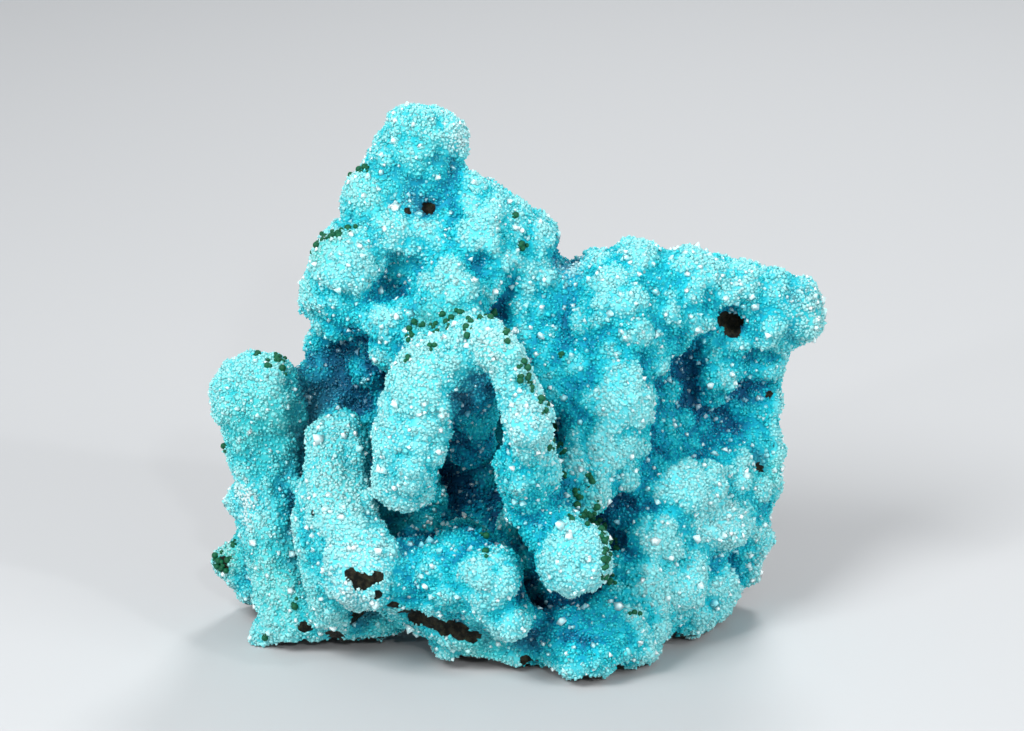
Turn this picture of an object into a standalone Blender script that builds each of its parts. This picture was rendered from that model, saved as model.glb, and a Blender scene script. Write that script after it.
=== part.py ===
"""Drusy chrysocolla: a standing mass of botryoidal lumps with blunt hanging fingers round a small cave.

Metres, +Z up, seen from -Y. The origin is the middle of the bounding box at the base.
"""

import math
from typing import NamedTuple

import bmesh
import bpy
import numpy as np
from mathutils import Matrix, Vector, noise

MM = 0.001

# How the face that the lumps are measured on is seen
SEEN_DOWN = math.radians(20.0)
SEEN_FROM = 480.0
SEEN_AXIS = (-1.0, 35.5)
FRONT_FOOT_DEPTH = -12.0
AWAY = Vector((0, math.cos(SEEN_DOWN), -math.sin(SEEN_DOWN)))
PIT_REACH = 5.0

# How the surface is made
BALL_SUBDIVISIONS = 3
ROOT_FLARE = 1.1
BOSS_SPACING = 0.5
BELOW_GROUND = 1.6
VOXEL = 0.5 * MM
SMOOTH_STEPS = 8
CLOSING = 0.6
TRIANGLES = 9400
SWELLS = ((7.0 * MM, 0.7 * MM), (3.2 * MM, 0.35 * MM))
BREAK_SWELLS = ((12.0 * MM, 3.0 * MM), (4.5 * MM, 1.3 * MM))
BREAK_DEEPENS_OVER = 8.0 * MM
BREAK_FROM = 13.0 * MM

# The faces along which it broke from the rock, in millimetres: a point of each and how it faces
BACK_PLANES = (
    (Vector((0, 26, 20)), Vector((0.05, 1.0, 0.1)).normalized()),
    (Vector((-10, 22, 50)), Vector((-0.1, 1.0, 0.5)).normalized()),
    (Vector((22, 24, 36)), Vector((0.35, 1.0, 0.4)).normalized()),
    (Vector((-30, 19, 10)), Vector((-0.7, 0.8, 0.1)).normalized()),
    (Vector((-14, 25, 24)), Vector((-0.35, 1.0, -0.1)).normalized()),
    (Vector((6, 25, 6)), Vector((0.1, 1.0, -0.45)).normalized()),
    (Vector((27, 20, 14)), Vector((0.5, 0.8, -0.2)).normalized()),
)

# How the node is finished
SKIN_COLOUR = (0.10, 0.55, 0.62, 1.0)
SKIN_ROUGHNESS = 0.45
GROUND_SIZE = 200 * MM


class Lump(NamedTuple):
    """A round boss, in millimetres: where the face shows it, how far back it lies, its radius and root."""

    across: float
    up: float
    depth: float
    radius: float
    root: float = 7.0


class Mass(NamedTuple):
    """A round mass behind the face, in millimetres."""

    x: float
    y: float
    z: float
    radius: float


class Pit(NamedTuple):
    """A pit or a recess, in millimetres: where the face shows it, how far back, how wide and how deep."""

    across: float
    up: float
    depth: float
    radius: float
    deep: float


TOWER = (
    Lump(-13.1, 68.6, 9.0, 3.8, 4),
    Lump(-9.6, 68.3, 9.0, 2.9, 3),
    Lump(-8.6, 67.2, 9.0, 1.9, 1),
    Lump(-15.6, 66.3, 9.0, 2.8, 4),
    Lump(-13.0, 64.8, 10.0, 4.6, 5),
    Lump(-16.4, 63.3, 10.0, 3.0, 4),
    Lump(-11.4, 62.4, 9.0, 3.0, 4),
    Lump(-18.7, 60.4, 8.0, 3.6, 5),
    Lump(-15.0, 60.0, 8.5, 3.0, 4),
    Lump(-7.0, 60.9, 8.5, 2.9),
    Lump(-3.9, 59.2, 9.0, 3.0),
    Lump(-1.4, 57.6, 9.0, 3.1),
    Lump(1.4, 55.7, 9.0, 3.2),
    Lump(-5.0, 56.4, 6.0, 3.7),
    Lump(-1.4, 54.2, 7.0, 3.0),
    Lump(-15.9, 56.9, 5.5, 2.7),
    Lump(-11.5, 56.8, 5.5, 2.6),
    Lump(-13.6, 55.6, 6.0, 3.0),
    Lump(-8.3, 54.6, 5.5, 3.0),
    Lump(-3.3, 52.5, 5.5, 2.5),
    Lump(-12.0, 52.6, 7.5, 3.6),
    Lump(-15.3, 50.8, 9.0, 3.2),
    Lump(-21.6, 52.3, 4.0, 4.5),
    Lump(-24.2, 49.0, 5.0, 3.5),
    Lump(-20.6, 47.6, 4.5, 3.8),
    Lump(-22.6, 46.0, 6.0, 3.3),
    Lump(-8.8, 49.2, 1.5, 3.9),
    Lump(-10.6, 47.4, 2.0, 2.6),
    Lump(-5.0, 49.3, 3.5, 2.5),
    Lump(-6.6, 46.6, 2.0, 2.5),
    Lump(-16.0, 45.0, 1.5, 3.1),
    Lump(-15.6, 41.8, 1.5, 2.8),
    Lump(-12.6, 44.6, 0.5, 2.6),
    Lump(-11.5, 41.3, -4.5, 3.0, 8),
    Lump(-9.3, 42.6, -3.0, 3.0, 8),
    Lump(-24.5, 42.3, 11.0, 2.4),
    Lump(-24.2, 39.0, 11.0, 2.7),
    Lump(-23.9, 35.6, 11.0, 3.0),
    Lump(-23.6, 32.5, 10.0, 3.0),
    Lump(-19.0, 39.1, 7.5, 2.6),
    Lump(-17.2, 41.8, 7.5, 2.6),
    Lump(-19.6, 34.6, 13.0, 4.0),
)

FLANK = (
    Lump(1.6, 51.8, 8.0, 2.8),
    Lump(0.6, 48.0, 7.0, 2.7),
    Lump(0.2, 44.6, 5.5, 2.7),
    Lump(2.4, 41.6, 4.5, 2.9),
    Lump(3.6, 46.6, 8.0, 3.0),
    Lump(4.8, 49.6, 9.5, 2.9),
    Lump(7.2, 49.4, 9.5, 2.7),
    Lump(3.4, 38.4, 3.0, 3.0),
)

BULGE = (
    Lump(11.8, 47.9, 4.5, 4.2),
    Lump(8.9, 45.4, 5.0, 3.2),
    Lump(13.4, 44.4, 4.0, 3.4),
    Lump(8.2, 39.9, 3.5, 3.6),
    Lump(11.6, 40.6, 3.0, 3.4),
    Lump(12.6, 34.8, 0.0, 4.4),
    Lump(8.6, 34.8, 1.5, 3.4),
    Lump(5.8, 35.8, 2.0, 2.8),
    Lump(9.0, 31.3, 0.0, 3.3),
    Lump(10.2, 28.6, -1.5, 3.4),
    Lump(13.2, 29.8, 0.5, 3.0),
    Lump(12.8, 26.3, 0.0, 2.8),
    Lump(8.6, 23.6, -5.0, 2.7),
    Lump(6.6, 27.0, -4.0, 2.6),
    Lump(16.2, 41.0, 5.5, 2.6),
)

WING = (
    Lump(10.4, 51.1, 8.5, 2.7),
    Lump(14.8, 51.9, 8.5, 3.4),
    Lump(17.4, 50.6, 8.5, 3.2),
    Lump(21.4, 50.4, 9.0, 3.8),
    Lump(24.4, 49.8, 10.0, 3.3),
    Lump(27.8, 49.4, 11.0, 3.3),
    Lump(31.0, 48.6, 12.0, 3.5),
    Lump(33.9, 47.0, 13.0, 4.0),
    Lump(35.9, 46.9, 13.0, 2.4),
    Lump(34.9, 45.0, 13.0, 2.8),
    Lump(33.0, 43.9, 13.0, 2.4),
    Lump(31.2, 45.2, 11.5, 3.3),
    Lump(17.8, 47.0, 7.0, 3.2),
    Lump(22.0, 46.2, 8.5, 3.0),
    Lump(25.2, 45.0, 11.5, 2.6),
    Lump(28.0, 43.8, 12.0, 2.6),
    Lump(19.0, 43.8, 8.5, 2.6),
)

HOLLOW = (
    Lump(24.6, 39.0, 11.8, 3.2),
    Lump(23.4, 36.6, 13.2, 2.4),
    Lump(24.6, 42.4, 11.6, 2.5),
    Lump(28.4, 40.4, 16.5, 4.0, 3),
    Lump(27.4, 35.0, 17.0, 4.4, 3),
    Lump(24.6, 32.4, 17.0, 3.6, 3),
    Lump(22.4, 33.4, 20.5, 4.4, 1),
    Lump(28.2, 30.2, 15.5, 3.8, 3),
    Lump(31.6, 39.2, 14.0, 1.6, 5),
    Lump(31.6, 36.6, 14.5, 1.4, 5),
    Lump(31.4, 34.2, 14.5, 1.3, 5),
    Lump(31.2, 31.8, 14.0, 1.5, 5),
    Lump(31.6, 29.0, 13.5, 1.6, 5),
    Lump(30.8, 26.4, 13.0, 2.0, 5),
    Lump(30.6, 23.8, 13.0, 1.9, 5),
    Lump(18.2, 32.2, 9.5, 2.6),
    Lump(17.8, 36.2, 10.0, 2.3),
    Lump(21.2, 29.8, 11.0, 2.7),
    Lump(24.4, 28.8, 12.0, 2.7),
)

LOWER_RIGHT = (
    Lump(20.0, 24.4, 2.0, 3.8),
    Lump(17.4, 23.8, 2.5, 3.0),
    Lump(22.8, 25.0, 4.0, 3.2),
    Lump(26.2, 25.8, 9.0, 3.4),
    Lump(28.6, 24.6, 10.5, 2.8),
    Lump(24.6, 20.0, 5.5, 4.0),
    Lump(28.2, 18.6, 10.0, 3.5),
    Lump(27.0, 14.8, 11.0, 3.1),
    Lump(20.8, 19.4, 3.0, 2.9),
    Lump(16.9, 18.0, -0.5, 3.5),
    Lump(20.6, 15.6, 2.0, 3.0),
    Lump(15.8, 11.9, -3.0, 3.5),
    Lump(19.8, 11.8, 0.0, 3.7),
    Lump(23.6, 11.3, 4.0, 3.7),
    Lump(21.2, 8.6, 3.0, 3.3),
    Lump(12.6, 13.8, -2.0, 2.9),
    Lump(12.6, 7.9, -6.5, 3.3),
    Lump(16.0, 7.2, -4.0, 3.0),
    Lump(14.4, 4.6, -7.5, 2.8),
    Lump(10.2, 3.6, -10.0, 2.9),
    Lump(6.8, 2.9, -10.0, 2.4),
    Lump(8.9, 5.8, -9.5, 1.4),
    Lump(9.6, 7.6, -7.4, 3.0),
    Lump(12.4, 10.6, -5.2, 2.6),
    Lump(6.0, 7.0, -6.6, 3.0),
    Lump(4.6, 4.6, -7.6, 2.6),
    Lump(5.2, 6.2, -4.0, 3.2),
    Lump(13.2, 20.8, 3.0, 3.2),
    Lump(14.8, 27.6, 4.0, 2.4),
)

LEDGE = (
    Lump(-14.8, 11.6, -8.5, 2.7),
    Lump(-13.4, 15.6, -7.0, 2.8),
    Lump(-11.2, 13.9, -9.0, 3.4),
    Lump(-7.2, 16.4, -8.0, 3.3),
    Lump(-8.4, 12.4, -11.0, 3.2),
    Lump(-3.9, 12.8, -12.5, 4.0),
    Lump(-4.6, 9.8, -12.0, 2.8),
    Lump(-1.4, 8.0, -12.0, 2.9),
    Lump(-9.6, 10.0, -9.0, 2.2),
    Lump(-6.3, 4.1, -4.0, 1.7),
    Lump(-3.0, 4.8, -5.5, 2.2),
    Lump(0.4, 3.6, -6.0, 2.0),
)

SHELL = (
    Lump(-15.2, 8.9, -5.0, 1.8, 3),
    Lump(-12.7, 8.0, -5.6, 1.9, 3),
    Lump(-10.6, 7.3, -6.2, 1.9, 3),
    Lump(-8.6, 6.7, -6.8, 1.9, 3),
    Lump(-6.6, 5.9, -7.0, 1.8, 3),
    Lump(-9.2, 4.5, -5.0, 1.6, 3),
    Lump(-16.2, 8.0, -2.0, 1.9, 4),
    Lump(-18.4, 6.6, -1.5, 1.7, 4),
    Lump(-22.0, 7.0, -1.5, 2.0, 4),
    Lump(-17.2, 10.6, -4.0, 1.7, 6),
)

COLUMN_KNOBS = (
    Lump(-34.6, 22.6, 7.0, 2.2),
    Lump(-33.6, 20.8, 7.0, 2.2),
    Lump(-37.0, 15.4, 10.0, 1.7, 2),
    Lump(-35.4, 15.7, 9.0, 2.2, 3),
    Lump(-33.6, 12.8, 9.0, 2.6),
    Lump(-32.0, 5.8, 2.0, 2.0, 5),
)

# Fingers are runs of bosses, joined along their length
ARCH_RIGHT = (
    Lump(-6.8, 43.6, -3.0, 3.2),
    Lump(-4.6, 42.4, -11.0, 3.0),
    Lump(-3.2, 41.6, -14.0, 2.9),
    Lump(-1.4, 39.4, -14.5, 2.7),
    Lump(-0.2, 36.4, -14.5, 2.3),
    Lump(0.9, 33.2, -15.5, 3.5),
    Lump(1.2, 30.4, -13.0, 3.2),
    Lump(0.8, 27.0, -11.0, 4.1),
    Lump(1.2, 22.8, -7.0, 3.4),
    Lump(4.4, 18.4, -9.0, 3.4),
    Lump(7.2, 15.4, -13.0, 4.7),
)
ARCH_LEFT = (
    Lump(-4.6, 42.4, -11.0, 3.0),
    Lump(-8.4, 40.8, -10.5, 3.3),
    Lump(-12.0, 38.6, -10.5, 4.0),
    Lump(-12.8, 35.0, -11.5, 4.3),
    Lump(-13.2, 31.6, -11.5, 4.6),
    Lump(-14.6, 28.2, -11.0, 4.3),
    Lump(-14.6, 25.2, -10.0, 4.2),
)
VALLEY = (
    Lump(-5.2, 39.6, -9.4, 3.0),
    Lump(-5.8, 36.4, -7.4, 3.4),
    Lump(-6.0, 33.4, -4.8, 3.6),
    Lump(-6.4, 30.4, -1.4, 3.4),
)
GUSSET = (
    Lump(-25.6, 24.0, 0.0, 2.6),
    Lump(-25.0, 19.6, -3.6, 3.2),
    Lump(-24.0, 14.0, -6.0, 3.6),
    Lump(-23.0, 9.0, -4.0, 3.0),
)
FINGER = (
    Lump(-22.8, 30.3, -1.0, 3.9),
    Lump(-23.2, 26.8, -3.0, 4.2),
    Lump(-23.1, 23.6, -5.0, 4.5),
    Lump(-21.8, 19.4, -7.5, 4.3),
    Lump(-20.4, 16.0, -9.5, 4.7),
    Lump(-19.6, 13.9, -10.0, 4.6),
)
COLUMN = (
    Lump(-32.5, 35.6, 7.0, 6.0),
    Lump(-31.8, 32.0, 7.0, 5.2),
    Lump(-31.3, 28.0, 6.5, 4.9),
    Lump(-31.2, 23.0, 6.0, 4.4),
    Lump(-30.0, 18.6, 5.0, 4.5),
    Lump(-29.4, 15.4, 4.5, 5.1),
    Lump(-28.4, 9.6, 2.5, 4.6),
    Lump(-24.0, 9.4, 1.0, 4.0),
)

PITS = (
    Pit(-11.4, 59.0, 6.0, 1.9, 2.6),
    Pit(-17.0, 49.0, 4.0, 2.6, 1.4),
    Pit(-12.6, 51.8, 4.0, 2.4, 0.9),
    Pit(-20.4, 34.8, 9.0, 2.8, 3.0),
    Pit(26.6, 45.2, 9.0, 2.3, 2.8),
    Pit(29.6, 26.8, 6.5, 1.2, 2.0),
    Pit(-20.3, 8.8, -4.0, 1.5, 3.0),
    Pit(-5.0, 52.4, 3.0, 1.8, 1.0),
)

CORE = (
    Mass(-13, 15, 58, 5.5),
    Mass(-9, 15, 50, 6.5),
    Mass(-19, 13, 46, 6.5),
    Mass(-2, 14, 48, 6),
    Mass(-8, 17, 42, 8),
    Mass(-17, 16, 38, 7),
    Mass(5, 15, 37, 7.5),
    Mass(16, 16, 36, 7),
    Mass(25, 19, 36, 5),
    Mass(32, 20, 36, 3),
    Mass(2, 19, 34, 8),
    Mass(11, 13, 33, 8),
    Mass(21, 25, 34, 5),
    Mass(27, 25, 30, 5),
    Mass(8, 12, 24, 8),
    Mass(15, 12, 23, 8),
    Mass(22, 16, 19, 7.5),
    Mass(-8, 23, 28, 7),
    Mass(-19, 13, 28, 7.5),
    Mass(-27, 13, 20, 6.5),
    Mass(-29, 12, 11, 6),
    Mass(-18, 14, 14, 9),
    Mass(-6, 20, 7, 8),
    Mass(7, 10, 10, 10),
    Mass(14, 10, 11, 9),
    Mass(20, 14, 10, 7),
    Mass(8, 2, 6, 7),
    Mass(-22, 12, 5, 7),
    Mass(-6, 15, 2, 8),
    Mass(12, 14, 4, 9),
    Mass(-14, 22, 20, 8),
    Mass(4, 23, 20, 8.5),
    Mass(18, 22, 12, 7),
    Mass(-8, 24, 36, 6),
    Mass(6, 24, 34, 5),
    Mass(13, 22, 24, 8),
    Mass(13, 22, 33, 6),
    Mass(-5, 24, 14, 7),
    Mass(-18, 21, 30, 7),
    Mass(3, 20, 8, 8),
    Mass(-29, 14, 5, 5.5),
    Mass(-24, 18, 15, 7),
    Mass(-2, 26, 27, 7),
    Mass(-1, 24, 42, 5.5),
    Mass(-13, 20, 4, 8),
    Mass(20, 20, 4, 6),
    Mass(22, 23, 24, 6),
)

RUNS = (ARCH_RIGHT, ARCH_LEFT, VALLEY, GUSSET, FINGER, COLUMN)
GROUPS = (TOWER, FLANK, BULGE, WING, HOLLOW, LOWER_RIGHT, LEDGE, SHELL, COLUMN_KNOBS)


def seen_to_place(across, up, depth):
    """The place in millimetres of a point of the face, with the tilt and the perspective of the view undone.

    Also gives how much smaller than it looks a thing there is.
    """
    tilt = math.tan(SEEN_DOWN)
    back = depth / math.cos(SEEN_DOWN)
    rise = up + FRONT_FOOT_DEPTH * math.sin(SEEN_DOWN) - SEEN_AXIS[1]
    level = (SEEN_AXIS[1] + rise * (1 + back / SEEN_FROM)) / (1 + rise * tilt / SEEN_FROM)
    nearer = 1 - (level * tilt - back) / SEEN_FROM
    x = SEEN_AXIS[0] + (across - SEEN_AXIS[0]) * nearer
    z = (level - depth * math.sin(SEEN_DOWN)) / math.cos(SEEN_DOWN)
    return Vector((x, depth, z)), nearer


def bosses():
    """Every boss as a centre and a radius in millimetres, with those along the runs and the roots."""
    for group in GROUPS:
        for lump in group:
            centre, nearer = seen_to_place(*lump[:3])
            radius = lump.radius * nearer
            yield from between(centre, radius, centre + AWAY * lump.root, radius * ROOT_FLARE)
    for run in RUNS:
        for first, second in zip(run, run[1:]):
            start, near_start = seen_to_place(*first[:3])
            end, near_end = seen_to_place(*second[:3])
            yield from between(start, first.radius * near_start, end, second.radius * near_end)
    for mass in CORE:
        yield Vector(mass[:3]), mass.radius


def between(start, start_radius, end, end_radius):
    """Bosses from one place to another, close enough together to make a smooth stem."""
    steps = max(1, round((end - start).length / (BOSS_SPACING * min(start_radius, end_radius))))
    for i in range(steps + 1):
        share = i / steps
        yield start.lerp(end, share), start_radius + (end_radius - start_radius) * share


def ball_cloud():
    """One mesh of overlapping balls, one for each boss, flattened where the back broke and at the ground."""
    bm = bmesh.new()
    bmesh.ops.create_icosphere(bm, subdivisions=BALL_SUBDIVISIONS, radius=1.0)
    ball = np.array([vert.co for vert in bm.verts])
    faces = np.array([[vert.index for vert in face.verts] for face in bm.faces])
    bm.free()
    points = []
    for centre, radius in bosses():
        spread = ball * (radius + CLOSING) + np.array(centre)
        for point, normal in BACK_PLANES:
            beyond = np.maximum((spread - np.array(point)) @ np.array(normal), 0)
            spread -= beyond[:, None] * np.array(normal)
        spread[:, 2] = np.maximum(spread[:, 2], -BELOW_GROUND)
        points.append(spread)
    count = len(points)
    corners = (faces[None] + (np.arange(count) * len(ball))[:, None, None]).reshape(-1, 3)
    mesh = bpy.data.meshes.new("chrysocolla")
    mesh.from_pydata(np.concatenate(points) * MM, [], corners)
    return mesh


def drop_sealed_gaps(mesh):
    """Keep the outermost skin alone, without the skins of gaps closed in between the bosses."""
    bm = bmesh.new()
    bm.from_mesh(mesh)
    left = set(bm.verts)
    skins = []
    while left:
        skin = {left.pop()}
        edge_of_skin = list(skin)
        while edge_of_skin:
            vert = edge_of_skin.pop()
            for edge in vert.link_edges:
                other = edge.other_vert(vert)
                if other in left:
                    left.remove(other)
                    skin.add(other)
                    edge_of_skin.append(other)
        skins.append(skin)
    outermost = max(skins, key=len)
    bmesh.ops.delete(bm, geom=[vert for vert in bm.verts if vert not in outermost], context="VERTS")
    bm.to_mesh(mesh)
    bm.free()


def reshaped(place, normal):
    """Where a point of the skin ends up, once the closing is undone and the swells and the pits are in."""
    rise = sum(noise.noise(place / size) * height for size, height in SWELLS) - CLOSING * MM
    broken = max(0.0, normal.y) * min(1.0, max(0.0, place.y - BREAK_FROM) / BREAK_DEEPENS_OVER)
    rise += sum(noise.noise(place / size) * height for size, height in BREAK_SWELLS) * broken
    moved = place + normal * rise
    for pit in PITS:
        centre, nearer = seen_to_place(*pit[:3])
        apart = (place - centre * MM) / MM
        along = apart.dot(AWAY)
        aside = (apart - AWAY * along).length / (pit.radius * nearer)
        if aside < 1 and abs(along) < PIT_REACH:
            moved += AWAY * pit.deep * MM * (1 - aside**2) ** 2
    return moved


def applied(obj):
    """The mesh that the object's modifiers make, put in the place of its own."""
    bpy.context.view_layer.update()
    mesh = bpy.data.meshes.new_from_object(obj.evaluated_get(bpy.context.evaluated_depsgraph_get()))
    obj.modifiers.clear()
    obj.data = mesh
    return mesh


def skin_material():
    """The druse's mean colour, for the plain solid."""
    material = bpy.data.materials.new("druse_on_chrysocolla")
    material.use_nodes = True
    shader = material.node_tree.nodes["Principled BSDF"]
    shader.inputs["Base Color"].default_value = SKIN_COLOUR
    shader.inputs["Roughness"].default_value = SKIN_ROUGHNESS
    shader.inputs["Metallic"].default_value = 0.0
    material.diffuse_color = SKIN_COLOUR
    return material


def collection(name):
    """A new collection in the scene."""
    made = bpy.data.collections.new(name)
    bpy.context.scene.collection.children.link(made)
    return made


def ground_cutter():
    """A block whose top is the ground, to cut the base off flat."""
    mesh = bpy.data.meshes.new("ground")
    bm = bmesh.new()
    bmesh.ops.create_cube(bm, size=GROUND_SIZE, matrix=Matrix.Translation((0, 0, -GROUND_SIZE / 2)))
    bm.to_mesh(mesh)
    bm.free()
    ground = bpy.data.objects.new("ground", mesh)
    ground.hide_render = True
    ground.display_type = "WIRE"
    collection("cutters").objects.link(ground)
    return ground


def main():
    """Grow the lumps into one skin, shape it, thin it out, centre it and cut its base off flat."""
    for obj in list(bpy.data.objects):
        bpy.data.objects.remove(obj)
    stone = bpy.data.objects.new("chrysocolla_specimen", ball_cloud())
    collection("chrysocolla").objects.link(stone)
    remesh = stone.modifiers.new("skin", "REMESH")
    remesh.mode = "VOXEL"
    remesh.voxel_size = VOXEL
    smooth = stone.modifiers.new("soften", "SMOOTH")
    smooth.iterations = SMOOTH_STEPS
    skin = applied(stone)
    drop_sealed_gaps(skin)
    places = [vert.co.copy() for vert in skin.vertices]
    normals = [vert.normal.copy() for vert in skin.vertices]
    moved = [reshaped(place, normal) for place, normal in zip(places, normals)]
    skin.vertices.foreach_set("co", np.array(moved).ravel())
    skin.update()
    thin = stone.modifiers.new("thin out", "DECIMATE")
    thin.ratio = TRIANGLES / (2 * len(skin.polygons))
    skin = applied(stone)
    low = [min(vert.co[axis] for vert in skin.vertices) for axis in (0, 1)]
    high = [max(vert.co[axis] for vert in skin.vertices) for axis in (0, 1)]
    stone.location = (-(low[0] + high[0]) / 2, -(low[1] + high[1]) / 2, 0)
    stone.data.materials.append(skin_material())
    cut = stone.modifiers.new("flat base", "BOOLEAN")
    cut.operation = "DIFFERENCE"
    cut.object = ground_cutter()
    cut.solver = "EXACT"


main()
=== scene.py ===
"""Drusy chrysocolla specimen: its stone, its crust of quartz crystals and its malachite balls."""

import logging
import math
from dataclasses import dataclass, field
from enum import Enum

import bmesh
import bpy
import numpy as np
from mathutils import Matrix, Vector
from mathutils.bvhtree import BVHTree
from mathutils.kdtree import KDTree

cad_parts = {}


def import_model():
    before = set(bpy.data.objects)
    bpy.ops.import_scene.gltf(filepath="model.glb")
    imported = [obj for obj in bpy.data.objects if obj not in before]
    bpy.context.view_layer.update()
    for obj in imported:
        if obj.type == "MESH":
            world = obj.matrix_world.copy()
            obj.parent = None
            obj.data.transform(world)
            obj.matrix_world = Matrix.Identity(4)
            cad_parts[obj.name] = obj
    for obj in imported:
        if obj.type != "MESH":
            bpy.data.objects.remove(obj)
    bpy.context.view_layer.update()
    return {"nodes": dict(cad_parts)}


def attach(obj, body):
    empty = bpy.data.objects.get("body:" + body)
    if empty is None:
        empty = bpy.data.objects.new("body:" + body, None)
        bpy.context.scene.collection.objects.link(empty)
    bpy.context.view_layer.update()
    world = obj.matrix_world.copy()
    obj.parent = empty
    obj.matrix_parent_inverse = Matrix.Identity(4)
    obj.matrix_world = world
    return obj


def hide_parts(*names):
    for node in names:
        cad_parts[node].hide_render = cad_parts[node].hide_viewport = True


MM = 0.001
PHOTO_WIDTH = 1024
PHOTO_HEIGHT = 731

log = logging.getLogger("chrysocolla")


class Wire:
    """A number in a shader that Python's operators add Math nodes to."""

    def __init__(self, tree: bpy.types.NodeTree, source: bpy.types.NodeSocket) -> None:
        """Wrap one output socket of the tree."""
        self.tree = tree
        self.source = source

    def maths(
        self, operation: str, first: "Wire | float", second: "Wire | float", clamp: bool = False
    ) -> "Wire":
        """Add one Math node.

        Args:
            operation: the Math node's operation.
            first: the left side, a wire or a number.
            second: the right side, a wire or a number.
            clamp: whether the result is kept between 0 and 1.

        Returns:
            The node's result.
        """
        node = self.tree.nodes.new("ShaderNodeMath")
        node.operation = operation
        node.use_clamp = clamp
        for slot, value in enumerate((first, second)):
            if isinstance(value, Wire):
                self.tree.links.new(value.source, node.inputs[slot])
            else:
                node.inputs[slot].default_value = value
        return Wire(self.tree, node.outputs[0])

    def __add__(self, other: "Wire | float") -> "Wire":
        """The sum."""
        return self.maths("ADD", self, other)

    def __radd__(self, other: "Wire | float") -> "Wire":
        """The sum, with a number on the left."""
        return self.maths("ADD", other, self)

    def __sub__(self, other: "Wire | float") -> "Wire":
        """The difference."""
        return self.maths("SUBTRACT", self, other)

    def __rsub__(self, other: "Wire | float") -> "Wire":
        """The difference, with a number on the left."""
        return self.maths("SUBTRACT", other, self)

    def __mul__(self, other: "Wire | float") -> "Wire":
        """The product."""
        return self.maths("MULTIPLY", self, other)

    def __rmul__(self, other: "Wire | float") -> "Wire":
        """The product, with a number on the left."""
        return self.maths("MULTIPLY", other, self)

    def clamped(self) -> "Wire":
        """The same number, kept between 0 and 1."""
        return self.maths("ADD", self, 0.0, clamp=True)


class Finish:
    """A material under way: a Principled shader and the nodes that feed it."""

    def __init__(self, name: str, **constants: object) -> None:
        """Start a material.

        Args:
            name: the material's name.
            constants: the values of the shader's own sockets, named with underscores for spaces.
        """
        self.material = bpy.data.materials.new(name)
        self.material.use_nodes = True
        self.tree = self.material.node_tree
        self.shader = self.tree.nodes["Principled BSDF"]
        for socket, value in constants.items():
            self.shader.inputs[socket.replace("_", " ")].default_value = value

    def add(
        self, kind: str, settings: dict | None = None, sockets: dict | None = None
    ) -> bpy.types.Node:
        """Add any node.

        Args:
            kind: the node's type.
            settings: its properties, and the stops of a ramp under "stops".
            sockets: the value, wire or socket for each input, by name or number.

        Returns:
            The node.
        """
        node = self.tree.nodes.new(kind)
        for name, value in (settings or {}).items():
            if name == "stops":
                self.set_stops(node.color_ramp, value)
            else:
                setattr(node, name, value)
        for name, value in (sockets or {}).items():
            if isinstance(value, Wire):
                value = value.source
            if isinstance(value, bpy.types.NodeSocket):
                self.tree.links.new(value, node.inputs[name])
            else:
                node.inputs[name].default_value = value
        return node

    @staticmethod
    def set_stops(ramp: bpy.types.ColorRamp, stops: tuple) -> None:
        """Give a ramp its stops.

        Args:
            ramp: the ramp, fresh from its node.
            stops: each stop's place from 0 to 1 and its colour.
        """
        while len(ramp.elements) < len(stops):
            ramp.elements.new(0.5)
        for element, (place, colour) in zip(ramp.elements, stops):
            element.position = place
            element.color = (*colour, 1.0)

    def wire(self, node: bpy.types.Node, output: str | int = 0) -> Wire:
        """One output of a node as a number."""
        return Wire(self.tree, node.outputs[output])

    def attribute(self, name: str) -> Wire:
        """A number that is stored on the mesh."""
        return self.wire(self.add("ShaderNodeAttribute", {"attribute_name": name}), "Fac")

    def noise(self, size: float, detail: float = 3.0, roughness: float = 0.55) -> Wire:
        """Noise from 0 to 1 on object coordinates.

        Args:
            size: the size of its features in metres.
            detail: how many finer layers it has.
            roughness: how strong those layers are.

        Returns:
            The noise.
        """
        place = self.add("ShaderNodeTexCoord").outputs["Object"]
        node = self.add(
            "ShaderNodeTexNoise",
            {"noise_dimensions": "3D"},
            {"Vector": place, "Scale": 1 / size, "Detail": detail, "Roughness": roughness},
        )
        return self.wire(node, 0)

    def mix(
        self,
        share: Wire | float,
        first: tuple | bpy.types.NodeSocket,
        second: tuple | bpy.types.NodeSocket,
    ) -> bpy.types.NodeSocket:
        """Mix two colours.

        Args:
            share: how much of the second shows, a wire or a number.
            first: a colour or a colour socket.
            second: a colour or a colour socket.

        Returns:
            The mixed colour's socket.
        """
        sides = [(*side, 1.0) if isinstance(side, tuple) else side for side in (first, second)]
        node = self.add("ShaderNodeMix", {"data_type": "RGBA"}, {0: share, 6: sides[0], 7: sides[1]})
        return node.outputs[2]

    def ramp(self, share: Wire, stops: tuple) -> bpy.types.NodeSocket:
        """A colour from a ramp."""
        return self.add("ShaderNodeValToRGB", {"stops": stops}, {0: share}).outputs[0]

    def feed(self, socket: str, source: Wire | bpy.types.NodeSocket) -> None:
        """Link a wire or a colour to one of the shader's sockets."""
        start = source.source if isinstance(source, Wire) else source
        self.tree.links.new(start, self.shader.inputs[socket])

    def bump(self, height: Wire, distance: float, strength: float) -> None:
        """Feed the shader's normal with a bump.

        Args:
            height: the relief, from 0 to 1.
            distance: how far its tops stand out in metres.
            strength: how much of it shows.
        """
        sockets = {"Height": height, "Distance": distance, "Strength": strength}
        node = self.add("ShaderNodeBump", None, sockets)
        self.tree.links.new(node.outputs[0], self.shader.inputs["Normal"])


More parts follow.
